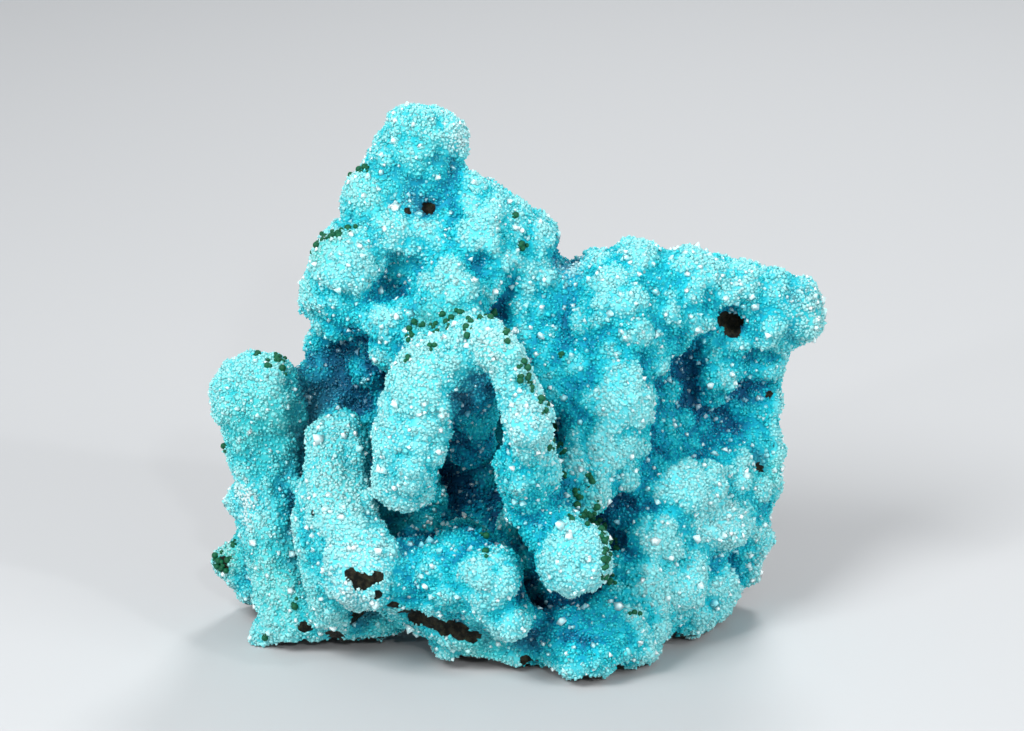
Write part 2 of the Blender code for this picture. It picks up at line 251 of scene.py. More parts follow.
# Colours of the stone from its deep hollows to the tops of its lumps: the dark end is the stone's
# darker blue with painted shade of the hollows, the pale end partly painted light on the tops
DEEP_BLUE = (0.001, 0.07, 0.16)
BLUE = (0.001, 0.25, 0.40)
TURQUOISE = (0.004, 0.43, 0.54)
AQUA = (0.10, 0.60, 0.66)
PALE_AQUA = (0.42, 0.78, 0.79)


@dataclass(frozen=True)
class StoneFinish:
    """Chrysocolla between the crystals, with its dark matrix where it is broken.

    The stone's colour follows how open the surface is, shifted by blotches: darker in hollows and
    creases, partly as painted shade, paler on open tops, partly as painted light, and darker overall
    between the crystals as painted shade.
    """

    name: str = "druse_on_chrysocolla"
    ior: float = 1.5
    shine: float = 0.12
    stops: tuple = (
        (0.0, DEEP_BLUE), (0.25, BLUE), (0.5, TURQUOISE), (0.75, AQUA), (1.0, PALE_AQUA),
    )
    open_share: float = 0.85
    blotch_size: float = 1.6 * MM
    blotch_share: float = 0.35
    # Painted shade between the crystals: this shift, with open_share below 1, darkens the stone seen
    # between them.
    deeper: float = 0.08
    sea_green: tuple = (0.05, 0.42, 0.33)
    green_share: float = 0.7
    matrix_grain: float = 0.9 * MM
    matrix_stops: tuple = (
        (0.45, (0.002, 0.003, 0.002)), (0.60, (0.024, 0.021, 0.012)), (0.70, (0.006, 0.060, 0.022)),
    )
    ragged_size: float = 1.1 * MM
    ragged_share: float = 0.9
    matrix_edge: float = 0.42
    edge_sharpness: float = 7.0
    smoothest: float = 0.3
    rough_patch: float = 0.5 * MM
    rough_spread: float = 0.45
    grain: float = 0.28 * MM
    grain_height: float = 0.12 * MM

    def dress(self) -> bpy.types.Material:
        """Make the material.

        Returns:
            The material.
        """
        finish = Finish(self.name, IOR=self.ior, Specular_IOR_Level=self.shine)
        openness = finish.attribute("open")
        blotches = finish.noise(self.blotch_size, detail=4.0)
        # Openness sets the colour, darker in hollows as painted shade and paler on open tops partly as
        # painted light; the last shift is painted shade between the crystals.
        share = openness * self.open_share + (blotches - 0.5) * self.blotch_share - self.deeper
        colour = finish.ramp(share.clamped(), self.stops)
        colour = finish.mix(finish.attribute("green") * self.green_share, colour, self.sea_green)
        flecks = finish.noise(self.matrix_grain, detail=6.0, roughness=0.7)
        matrix = finish.ramp(flecks, self.matrix_stops)
        ragged = finish.noise(self.ragged_size, detail=4.0, roughness=0.65)
        uneven = (ragged - 0.5) * self.ragged_share
        bare = (finish.attribute("rock") + uneven - self.matrix_edge) * self.edge_sharpness
        finish.feed("Base Color", finish.mix(bare.clamped(), colour, matrix))
        finish.feed("Roughness", self.smoothest + finish.noise(self.rough_patch) * self.rough_spread)
        grain = finish.noise(self.grain, detail=4.0, roughness=0.7)
        finish.bump(grain, self.grain_height, strength=1.0)
        return finish.material


@dataclass(frozen=True)
class DruseFinish:
    """Milky quartz that takes the colour of the turquoise stone under it.

    Each crystal is a little deeper or paler by chance, and the luckiest turn white, partly as
    milk-white quartz and partly as painted glints. Crystals in hollows go dark as painted shade, those
    on open tops pale partly as painted light, and each is darker at its foot and paler at its tip, as
    painted shade and painted light.
    """

    name: str = "quartz_crystals"
    ior: float = 1.544
    see_through: float = 0.12
    shine: float = 0.14
    roughness: float = 0.16
    rough_spread: float = 0.12
    whiteness_and_glint: float = 0.75
    glow: float = 0.7
    glow_reach: float = 0.5 * MM
    glow_colour: tuple = (0.8, 1.0, 1.0)
    aqua: tuple = (0.020, 0.59, 0.68)
    pale: tuple = (0.29, 0.79, 0.82)
    sea_green: tuple = (0.20, 0.60, 0.50)
    white: tuple = (0.84, 0.95, 0.96)
    chance_share: float = 0.22
    tip_light_share: float = 0.12
    tip_middle: float = 0.3
    green_share: float = 0.6
    white_share: float = 0.7
    white_from: float = 0.92
    white_rise: float = 12.0
    white_if_shut: float = 0.4
    white_if_open: float = 0.7

    def dress(self) -> bpy.types.Material:
        """Make the material.

        Returns:
            The material.
        """
        finish = Finish(
            self.name,
            IOR=self.ior,
            Transmission_Weight=self.see_through,
            Specular_IOR_Level=self.shine,
            Subsurface_Weight=self.glow,
            Subsurface_Radius=self.glow_colour,
            Subsurface_Scale=self.glow_reach,
        )
        openness = finish.attribute("open")
        chance = finish.attribute("chance")
        # Paler tips and darker feet: painted light through each crystal and painted shade at its foot.
        tip = (finish.attribute("tip") - self.tip_middle) * self.tip_light_share
        share = openness + (chance - 0.5) * self.chance_share + tip
        # Dark in hollows as painted shade over the stone's darker blue, pale on open tops partly as
        # painted light.
        colour = finish.ramp(
            share.clamped(),
            ((0.0, DEEP_BLUE), (0.22, BLUE), (0.45, TURQUOISE), (0.72, self.aqua), (1.0, self.pale)),
        )
        colour = finish.mix(finish.attribute("green") * self.green_share, colour, self.sea_green)
        colour = finish.mix(finish.attribute("white") * self.white_share, colour, self.white)
        # The luckiest crystals turn white, partly milk-white quartz and partly painted glints, more so
        # on open tops.
        lucky = ((chance - self.white_from) * self.white_rise).clamped()
        milky_and_glint = lucky * (openness * self.white_if_open + self.white_if_shut).clamped()
        finish.feed("Base Color", finish.mix(milky_and_glint * self.whiteness_and_glint, colour, self.white))
        finish.feed("Roughness", self.roughness + chance * self.rough_spread)
        return finish.material


@dataclass(frozen=True)
class MalachiteFinish:
    """Dark green balls in two mottled greens."""

    name: str = "malachite"
    ior: float = 1.65
    shine: float = 0.15
    dark: tuple = (0.002, 0.024, 0.012)
    green: tuple = (0.003, 0.150, 0.062)
    mottle: float = 0.5 * MM
    smoothest: float = 0.4
    rough_patch: float = 0.15 * MM
    rough_spread: float = 0.3
    grain: float = 0.10 * MM
    grain_height: float = 0.03 * MM

    def dress(self) -> bpy.types.Material:
        """Make the material.

        Returns:
            The material.
        """
        finish = Finish(self.name, IOR=self.ior, Specular_IOR_Level=self.shine)
        finish.feed("Base Color", finish.mix(finish.noise(self.mottle), self.dark, self.green))
        finish.feed("Roughness", self.smoothest + finish.noise(self.rough_patch) * self.rough_spread)
        finish.bump(finish.noise(self.grain, detail=2.0), self.grain_height, strength=0.8)
        return finish.material


@dataclass(frozen=True)
class FaceView:
    """How the camera sees the specimen's face, with pixels in the picture's own frame."""

    looks_down: float = math.radians(20.0)
    distance: float = 480 * MM
    pixel: float = 0.125 * MM
    aim: Vector = Vector((-0.392 * MM, -5.03 * MM, 0.0))
    aim_up: float = 35.5 * MM
    sensor: float = 36.0
    nearest: float = 10 * MM

    @property
    def up(self) -> Vector:
        """Up in the picture."""
        return Vector((0, math.sin(self.looks_down), math.cos(self.looks_down)))

    @property
    def eye(self) -> Vector:
        """Where the camera stands."""
        back = Vector((0, -math.cos(self.looks_down), math.sin(self.looks_down)))
        return self.aim + self.up * self.aim_up + back * self.distance

    def ray(self, x: float, y: float) -> Vector:
        """The direction in which a pixel looks.

        Args:
            x: the pixel's column.
            y: the pixel's row.

        Returns:
            A direction of length 1.
        """
        right = Vector((1, 0, 0)) * (x - PHOTO_WIDTH / 2) * self.pixel
        rise = self.up * (PHOTO_HEIGHT / 2 - y) * self.pixel
        ahead = Vector((0, math.cos(self.looks_down), -math.sin(self.looks_down))) * self.distance
        return (ahead + right + rise).normalized()

    def add_camera(self) -> None:
        """Set up the scene's camera."""
        lens = bpy.data.cameras.new("camera")
        lens.sensor_width = self.sensor
        lens.lens = lens.sensor_width * self.distance / (PHOTO_WIDTH * self.pixel)
        lens.clip_start = self.nearest
        camera = bpy.data.objects.new("camera", lens)
        camera.location = self.eye
        camera.rotation_euler = (math.pi / 2 - self.looks_down, 0, 0)
        bpy.context.scene.collection.objects.link(camera)
        bpy.context.scene.camera = camera


class Mark(Enum):
    """What a spot of the face does to the stone there."""

    # Partly paler crust, partly painted light on lit tops.
    PALE = "pale"
    # Painted shade in recesses, hollows, the cave and under ledges, over the stone's darker blue.
    DEEP = "deep"
    GREEN = "green"
    ROCK = "rock"
    WHITE = "white"


@dataclass(frozen=True)
class Spot:
    """A round spot of the face: its pixel, its radius in pixels and how strongly it works."""

    x: float
    y: float
    radius: float
    strength: float


# Where the stone's colour differs from what its form alone would give, by part of the face: pale spots
# are partly paler crust and partly painted light on lit tops, deep spots are painted shade in recesses,
# hollows, the cave and under ledges, over the stone's own darker blue
SPOTS: dict[Mark, dict[str, tuple]] = {
    # Partly paler crust, partly painted light where the tops are lit.
    Mark.PALE: {
        "crown": (Spot(415, 125, 34, 0.5), Spot(452, 140, 18, 0.7)),
        "neck": (Spot(372, 192, 24, 0.5),),
        "tower": (Spot(395, 228, 24, 0.6), Spot(478, 235, 26, 0.6), Spot(500, 208, 24, 0.5)),
        "tower_middle": (
            Spot(450, 290, 28, 0.8), Spot(392, 325, 18, 0.4), Spot(397, 264, 26, 2.0),
            Spot(418, 258, 22, 0.8), Spot(390, 272, 24, 1.2), Spot(385, 288, 22, 1.0),
            Spot(405, 268, 22, 0.8),
        ),
        "shoulder": (Spot(335, 262, 36, 0.8),),
        "saddle": (Spot(517, 293, 16, 0.8), Spot(545, 290, 36, 0.7)),
        "ridge": (Spot(612, 300, 34, 0.6), Spot(640, 262, 22, 0.4), Spot(572, 325, 26, 0.5)),
        "ridge_middle": (
            Spot(622, 405, 36, 0.9), Spot(585, 375, 24, 0.3), Spot(610, 450, 30, 1.4),
        ),
        "wing": (Spot(725, 285, 26, 0.2),),
        "arch_top": (Spot(490, 345, 26, 1.5),),
        "left_limb": (Spot(425, 365, 34, 1.3), Spot(410, 420, 34, 0.7)),
        "right_limb": (Spot(525, 418, 26, 1.0),),
        "lower_ball": (Spot(580, 548, 34, 1.0),),
        "finger": (Spot(345, 500, 36, 2.0), Spot(335, 450, 28, 0.6)),
        "finger_end": (Spot(352, 548, 34, 1.5),),
        "column_top": (Spot(255, 372, 34, 0.6),),
        "column_foot": (Spot(246, 505, 22, 1.0),),
        "left_foot": (Spot(270, 605, 36, 1.0),),
        "right_flank": (Spot(680, 485, 34, 0.9),),
        "right_lumps": (Spot(722, 520, 38, 1.8), Spot(655, 540, 24, 0.4)),
        "lower_right": (Spot(680, 585, 48, 1.7),),
        "ledge": (Spot(484, 575, 28, 0.7),),
    },
    # Painted shade in recesses, hollows, the cave and under the ledges.
    Mark.DEEP: {
        "crown": (Spot(405, 128, 34, 0.6), Spot(412, 130, 30, 0.5)),
        "neck": (
            Spot(425, 182, 24, 0.9), Spot(425, 180, 24, 0.6), Spot(430, 165, 24, 0.5),
            Spot(425, 175, 28, 0.8),
        ),
        "ridge": (Spot(620, 300, 36, 0.45),),
        "wing": (Spot(690, 325, 26, 0.3),),
        "wing_end": (Spot(800, 300, 30, 0.5),),
        "recess": (
            Spot(328, 360, 24, 1.2), Spot(350, 378, 32, 1.5), Spot(352, 395, 24, 1.4),
            Spot(318, 400, 14, 1.0), Spot(345, 330, 24, 0.8), Spot(345, 375, 40, 1.5),
            Spot(372, 375, 26, 1.4),
        ),
        "arch_top": (Spot(530, 345, 24, 0.2),),
        "arch_opening": (Spot(480, 400, 26, 1.5),),
        "right_limb": (Spot(525, 415, 26, 0.3),),
        "cave": (
            Spot(455, 500, 24, 2.0), Spot(455, 500, 30, 1.5), Spot(510, 472, 24, 0.5),
            Spot(470, 460, 38, 1.6),
        ),
        "lower_ball": (Spot(535, 500, 30, 0.8), Spot(530, 510, 30, 0.8), Spot(615, 510, 26, 0.7)),
        "finger_end": (Spot(310, 540, 16, 0.5),),
        "column": (Spot(262, 420, 34, 0.3),),
        "hollow": (Spot(690, 390, 36, 0.9), Spot(740, 400, 34, 0.7), Spot(675, 350, 20, 0.6)),
        "right_flank": (Spot(640, 470, 16, 0.6), Spot(655, 440, 16, 0.6)),
        "lower_right": (Spot(640, 630, 18, 0.5),),
        "ledge": (
            Spot(430, 556, 20, 0.3), Spot(430, 560, 30, 0.5), Spot(490, 580, 26, 0.3),
            Spot(410, 530, 28, 1.2), Spot(470, 530, 26, 1.4),
        ),
        "broken_edge": (Spot(400, 590, 18, 0.4),),
        "underside": (Spot(600, 645, 36, 0.45), Spot(600, 642, 34, 1.0), Spot(555, 620, 40, 0.8)),
    },
    Mark.GREEN: {
        "crown": (Spot(415, 140, 40, 0.25),),
        "neck": (Spot(372, 195, 44, 0.3),),
        "shoulder": (Spot(335, 238, 14, 0.8), Spot(316, 254, 14, 0.8), Spot(303, 285, 16, 0.4)),
        "wing_end": (Spot(810, 320, 26, 0.3),),
        "arch_top": (
            Spot(450, 318, 30, 0.4), Spot(495, 350, 30, 0.35), Spot(425, 322, 16, 0.8),
            Spot(455, 316, 16, 0.8),
        ),
        "left_limb": (Spot(425, 370, 50, 0.25),),
        "lower_ball": (Spot(592, 515, 18, 0.6),),
        "finger": (Spot(345, 480, 50, 0.3),),
        "column_top": (Spot(276, 358, 18, 0.8),),
        "column": (Spot(260, 430, 64, 0.55),),
        "column_foot": (Spot(226, 556, 22, 1.0),),
        "left_foot": (Spot(280, 580, 64, 0.5),),
        "broken_edge": (Spot(480, 650, 34, 0.6), Spot(380, 620, 30, 0.4)),
        "right_edge": (Spot(770, 470, 20, 0.5),),
    },
    Mark.WHITE: {
        "crown": (Spot(460, 140, 14, 0.5),),
        "tower": (Spot(400, 228, 26, 0.12),),
        "saddle": (Spot(572, 270, 12, 0.6),),
        "wing_end": (Spot(810, 310, 26, 0.35),),
        "arch_top": (Spot(490, 345, 22, 0.35),),
        "left_limb": (Spot(425, 365, 34, 0.2),),
        "right_limb": (Spot(525, 418, 20, 0.3),),
        "finger": (Spot(345, 490, 36, 0.22),),
        "finger_end": (Spot(360, 560, 26, 0.35), Spot(350, 595, 20, 0.45)),
        "column_foot": (Spot(246, 498, 14, 0.9), Spot(246, 516, 12, 0.9)),
        "right_lumps": (Spot(722, 520, 30, 0.12),),
    },
    Mark.ROCK: {
        "tower": (Spot(428, 208, 9, 0.9), Spot(408, 211, 4, 1.0)),
        "saddle": (Spot(500, 290, 7, 0.35),),
        "wing_pit": (
            Spot(722, 318, 9, 1.0), Spot(740, 318, 9, 1.0), Spot(732, 330, 9, 1.0),
            Spot(731, 320, 10, 1.2),
        ),
        "finger": (Spot(312, 515, 7, 0.5),),
        "finger_end": (
            Spot(352, 575, 8, 1.0), Spot(362, 582, 10, 1.0), Spot(378, 578, 7, 1.0),
            Spot(378, 595, 6, 1.0), Spot(357, 616, 11, 1.2),
        ),
        "column_foot": (Spot(222, 564, 9, 0.9),),
        "left_foot": (Spot(335, 634, 10, 1.2), Spot(306, 627, 8, 1.0)),
        "broken_edge": (
            Spot(392, 606, 7, 1.1), Spot(405, 611, 9, 1.1), Spot(418, 616, 11, 1.1),
            Spot(432, 621, 12, 1.1), Spot(446, 627, 11, 1.1), Spot(460, 631, 9, 1.1),
            Spot(474, 637, 8, 0.9),
        ),
        "underside": (Spot(525, 660, 6, 0.8),),
        "right_edge": (Spot(758, 468, 6, 1.0), Spot(770, 395, 5, 0.8), Spot(775, 445, 4, 0.6)),
    },
}

def only(obj: bpy.types.Object) -> None:
    """Select one object alone and make it active.

    Args:
        obj: the object.
    """
    if bpy.context.mode != "OBJECT":
        bpy.ops.object.mode_set(mode="OBJECT")
    bpy.ops.object.select_all(action="DESELECT")
    obj.select_set(True)
    bpy.context.view_layer.objects.active = obj


def smoothstep(low: float, high: float, value: np.ndarray) -> np.ndarray:
    """Rise smoothly from 0 at low to 1 at high."""
    share = np.clip((value - low) / (high - low), 0, 1)
    return share * share * (3 - 2 * share)


def store(mesh: bpy.types.Mesh, name: str, values: np.ndarray) -> None:
    """Store one number for each vertex of a mesh."""
    layer = mesh.attributes.new(name, "FLOAT", "POINT")
    layer.data.foreach_set("value", np.asarray(values, np.float32))


@dataclass
class StoneBody:
    """The stone itself: the solid's form with finer lumps, and how open it is at each vertex.

    Rays from probes that stand a lift off the surface, and lean out along its normal, feel how
    much sky is free. The nearest probes are blurred together. Bulges are measured on a broad
    and on a fine scale. A spot fades outwards from its middle, but one of bare matrix has a
    rim. Matrix also covers what turns to the back or under.
    """

    view: FaceView
    solid: bpy.types.Object
    name: str = "chrysocolla_body"
    merge: float = 0.001 * MM
    voxel: float = 0.5 * MM
    soften_rounds: int = 12
    kept: float = 0.7
    small_lumps: tuple = (("VORONOI", 3.0 * MM, 1.0 * MM), ("CLOUDS", 1.4 * MM, 0.5 * MM))
    seed: int = 7
    probes: int = 9000
    rays: int = 28
    reach: float = 16 * MM
    lift: float = 0.25 * MM
    lean_out: float = 1.05
    neighbours: int = 5
    blur: float = 0.2 * MM
    least_open: float = 0.08
    sky_share: float = 0.60
    broad_rounds: int = 45
    broad_bulge: float = 0.55 * MM
    broad_share: float = 0.26
    fine_rounds: int = 8
    fine_bulge: float = 0.12 * MM
    fine_share: float = 0.09
    pale_and_light_share: float = 0.26
    deep_and_shade_share: float = 0.34
    spot_fall: float = 0.9
    rock_rim: tuple = (1.25, 0.75)
    back_turn: tuple = (0.25, 0.6)
    back_from: tuple = (6 * MM, 11 * MM)
    under_turn: tuple = (-0.6, -0.85)
    under_below: tuple = (4 * MM, 2 * MM)
    body: bpy.types.Object = field(init=False, default=None)
    points: np.ndarray = field(init=False, default=None)
    normals: np.ndarray = field(init=False, default=None)
    masks: dict = field(init=False, default_factory=dict)
    tree: BVHTree = field(init=False, default=None)

    def build(self) -> bpy.types.Object:
        """Make the body and dress it.

        Returns:
            The body's object.
        """
        self.copy_solid()
        self.refine()
        self.measure()
        self.paint_masks()
        self.thin()
        self.body.data.materials.append(StoneFinish().dress())
        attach(self.body, "root")
        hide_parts("chrysocolla_specimen")
        return self.body

    def copy_solid(self) -> None:
        """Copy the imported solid's mesh and merge its corners."""
        mesh = self.solid.data.copy()
        mesh.name = self.name
        self.body = bpy.data.objects.new(self.name, mesh)
        bpy.context.scene.collection.objects.link(self.body)
        mesh.materials.clear()
        only(self.body)
        bpy.ops.object.mode_set(mode="EDIT")
        bpy.ops.mesh.select_all(action="SELECT")
        bpy.ops.mesh.remove_doubles(threshold=self.merge)
        bpy.ops.object.mode_set(mode="OBJECT")

    def refine(self) -> None:
        """Give the body an even fine mesh, round its facets off and raise the small lumps."""
        only(self.body)
        skin = self.body.modifiers.new("skin", "REMESH")
        skin.mode = "VOXEL"
        skin.voxel_size = self.voxel
        soften = self.body.modifiers.new("soften", "SMOOTH")
        soften.iterations = self.soften_rounds
        for kind, size, height in self.small_lumps:
            texture = bpy.data.textures.new(kind.lower(), kind)
            texture.noise_scale = size
            if kind == "CLOUDS":
                texture.noise_depth = 2
            raise_lumps = self.body.modifiers.new(kind.lower(), "DISPLACE")
            raise_lumps.texture = texture
            raise_lumps.texture_coords = "LOCAL"
            raise_lumps.mid_level = 0.5
            raise_lumps.strength = -height if kind == "VORONOI" else height
        for modifier in list(self.body.modifiers):
            bpy.ops.object.modifier_apply(modifier=modifier.name)
        bpy.ops.object.shade_smooth()

    def thin(self) -> None:
        """Take out the faces that the form can spare, once everything is measured."""
        only(self.body)
        fewer = self.body.modifiers.new("fewer", "DECIMATE")
        fewer.ratio = self.kept
        bpy.ops.object.modifier_apply(modifier=fewer.name)

    def measure(self) -> None:
        """Find how open the surface is at each vertex, from its bulges and the sky that it sees; the
        colours darken with it as painted shade in hollows and creases, and pale with it, partly as
        painted light, on the tops.
        """
        mesh = self.body.data
        count = len(mesh.vertices)
        self.points = np.empty(count * 3, np.float32)
        mesh.vertices.foreach_get("co", self.points)
        self.points = self.points.reshape(-1, 3).astype(float)
        self.normals = np.empty(count * 3, np.float32)
        mesh.vertex_normals.foreach_get("vector", self.normals)
        self.normals = self.normals.reshape(-1, 3).astype(float)
        bm = bmesh.new()
        bm.from_mesh(mesh)
        self.tree = BVHTree.FromBMesh(bm)
        bm.free()
        broad = np.clip(self.bulge(self.broad_rounds) / self.broad_bulge, -1, 1)
        fine = np.clip(self.bulge(self.fine_rounds) / self.fine_bulge, -1, 1)
        # Less free sky and a hollower form give a darker colour: painted shade.
        openness = self.least_open + self.sky_share * self.sky()
        openness = openness + self.broad_share * broad + self.fine_share * fine
        self.masks["open"] = np.clip(openness, 0, 1)

    def bulge(self, rounds: int) -> np.ndarray:
        """How far each vertex stands out of a smoothed copy of the surface.

        Args:
            rounds: how many times the copy is smoothed.

        Returns:
            A distance for each vertex, in metres.
        """
        mesh = self.body.data
        ends = np.empty(len(mesh.edges) * 2, np.int32)
        mesh.edges.foreach_get("vertices", ends)
        first, second = ends.reshape(-1, 2).T
        count = len(mesh.vertices)
        degree = np.bincount(first, minlength=count) + np.bincount(second, minlength=count)
        smooth = self.points.copy()
        for _ in range(rounds):
            for axis in range(3):
                column = smooth[:, axis]
                total = np.bincount(first, column[second], count)
                total = total + np.bincount(second, column[first], count)
                smooth[:, axis] = 0.3 * column + 0.7 * total / degree
        return ((self.points - smooth) * self.normals).sum(1)

    def sky(self) -> np.ndarray:
        """Find the share of the sky that the stone leaves free, from probes spread over it.

        Returns:
            A share from 0 to 1 for each vertex.
        """
        random = np.random.default_rng(self.seed)
        chosen = random.choice(len(self.points), self.probes, replace=False)
        spread = random.normal(size=(self.rays, 3))
        spread /= np.linalg.norm(spread, axis=1, keepdims=True)
        found = KDTree(self.probes)
        values = np.empty(self.probes)
        for slot, index in enumerate(chosen):
            normal = self.normals[index]
            start = Vector(self.points[index] + normal * self.lift)
            free = 0
            for direction in spread + normal * self.lean_out:
                free += self.tree.ray_cast(start, Vector(direction).normalized(), self.reach)[0] is None
            values[slot] = free / self.rays
            found.insert(Vector(self.points[index]), slot)
        found.balance()
        sky = np.empty(len(self.points))
        for index, point in enumerate(self.points):
            near = found.find_n(Vector(point), self.neighbours)
            weights = [1 / (distance + self.blur) for _, _, distance in near]
            total = sum(weight * values[slot] for weight, (_, slot, _) in zip(weights, near))
            sky[index] = total / sum(weights)
        return sky

    def find(self, x: float, y: float) -> tuple[Vector, Vector] | None:
        """Where a pixel of the face lies on the body.

        Args:
            x: the pixel's column.
            y: the pixel's row.

        Returns:
            The place and the surface's normal there, or None past the edge.
        """
        place, normal, _, _ = self.tree.ray_cast(self.view.eye, self.view.ray(x, y))
        return None if place is None else (place, normal)

    def gather(self, mark: Mark) -> np.ndarray:
        """Find how strongly the spots of one kind work at each vertex.

        Args:
            mark: the kind.

        Returns:
            A strength for each vertex, 0 where no spot reaches.
        """
        change = np.zeros(len(self.points))
        for part, spots in SPOTS[mark].items():
            for spot in spots:
                found = self.find(spot.x, spot.y)
                if found is None:
                    log.warning("%s: no stone under the spot at %s, %s", part, spot.x, spot.y)
                    continue
                radius = spot.radius * self.view.pixel
                apart = np.linalg.norm(self.points - np.array(found[0]), axis=1) / radius
                if mark is Mark.ROCK:
                    share = smoothstep(*self.rock_rim, apart)
                else:
                    share = np.exp(-(apart**2) * self.spot_fall)
                change = np.maximum(change, share * spot.strength)
        return change

    def paint_masks(self) -> None:
        """Work out where the stone is open, green, white or bare matrix, and store it."""
        change = {mark: self.gather(mark) for mark in Mark}
        # Pale spots lift the colour, partly as painted light; deep spots darken it as painted shade.
        openness = self.masks["open"] + self.pale_and_light_share * change[Mark.PALE]
        openness = openness - self.deep_and_shade_share * change[Mark.DEEP]
        out, height = self.points[:, 1:].T
        back = smoothstep(*self.back_turn, self.normals[:, 1]) * smoothstep(*self.back_from, out)
        under = smoothstep(*self.under_turn, self.normals[:, 2])
        under = under * smoothstep(*self.under_below, height)
        rock = np.maximum.reduce([change[Mark.ROCK], back, under])
        self.masks["open"] = np.clip(openness, 0, 1)
        self.masks["green"] = np.clip(change[Mark.GREEN], 0, 1)
        self.masks["white"] = np.clip(change[Mark.WHITE], 0, 1)
        self.masks["rock"] = np.clip(rock, 0, 1)
        for name in ("open", "green", "rock"):
            store(self.body.data, name, self.masks[name])


@dataclass(frozen=True)
class Growth:
    """What sets one kind of crystal apart: its size, its rise, how they vary and their chance."""

    size: float = 1.0
    rise: float = 0.0
    size_spread: float = 0.24
    chance: tuple = (0.0, 0.96)


CLOSE = Growth()
LOOSE = Growth(size=0.75, rise=0.6)
LARGE = Growth(size=1.15, rise=0.5, size_spread=0.3, chance=(0.94, 1.0))


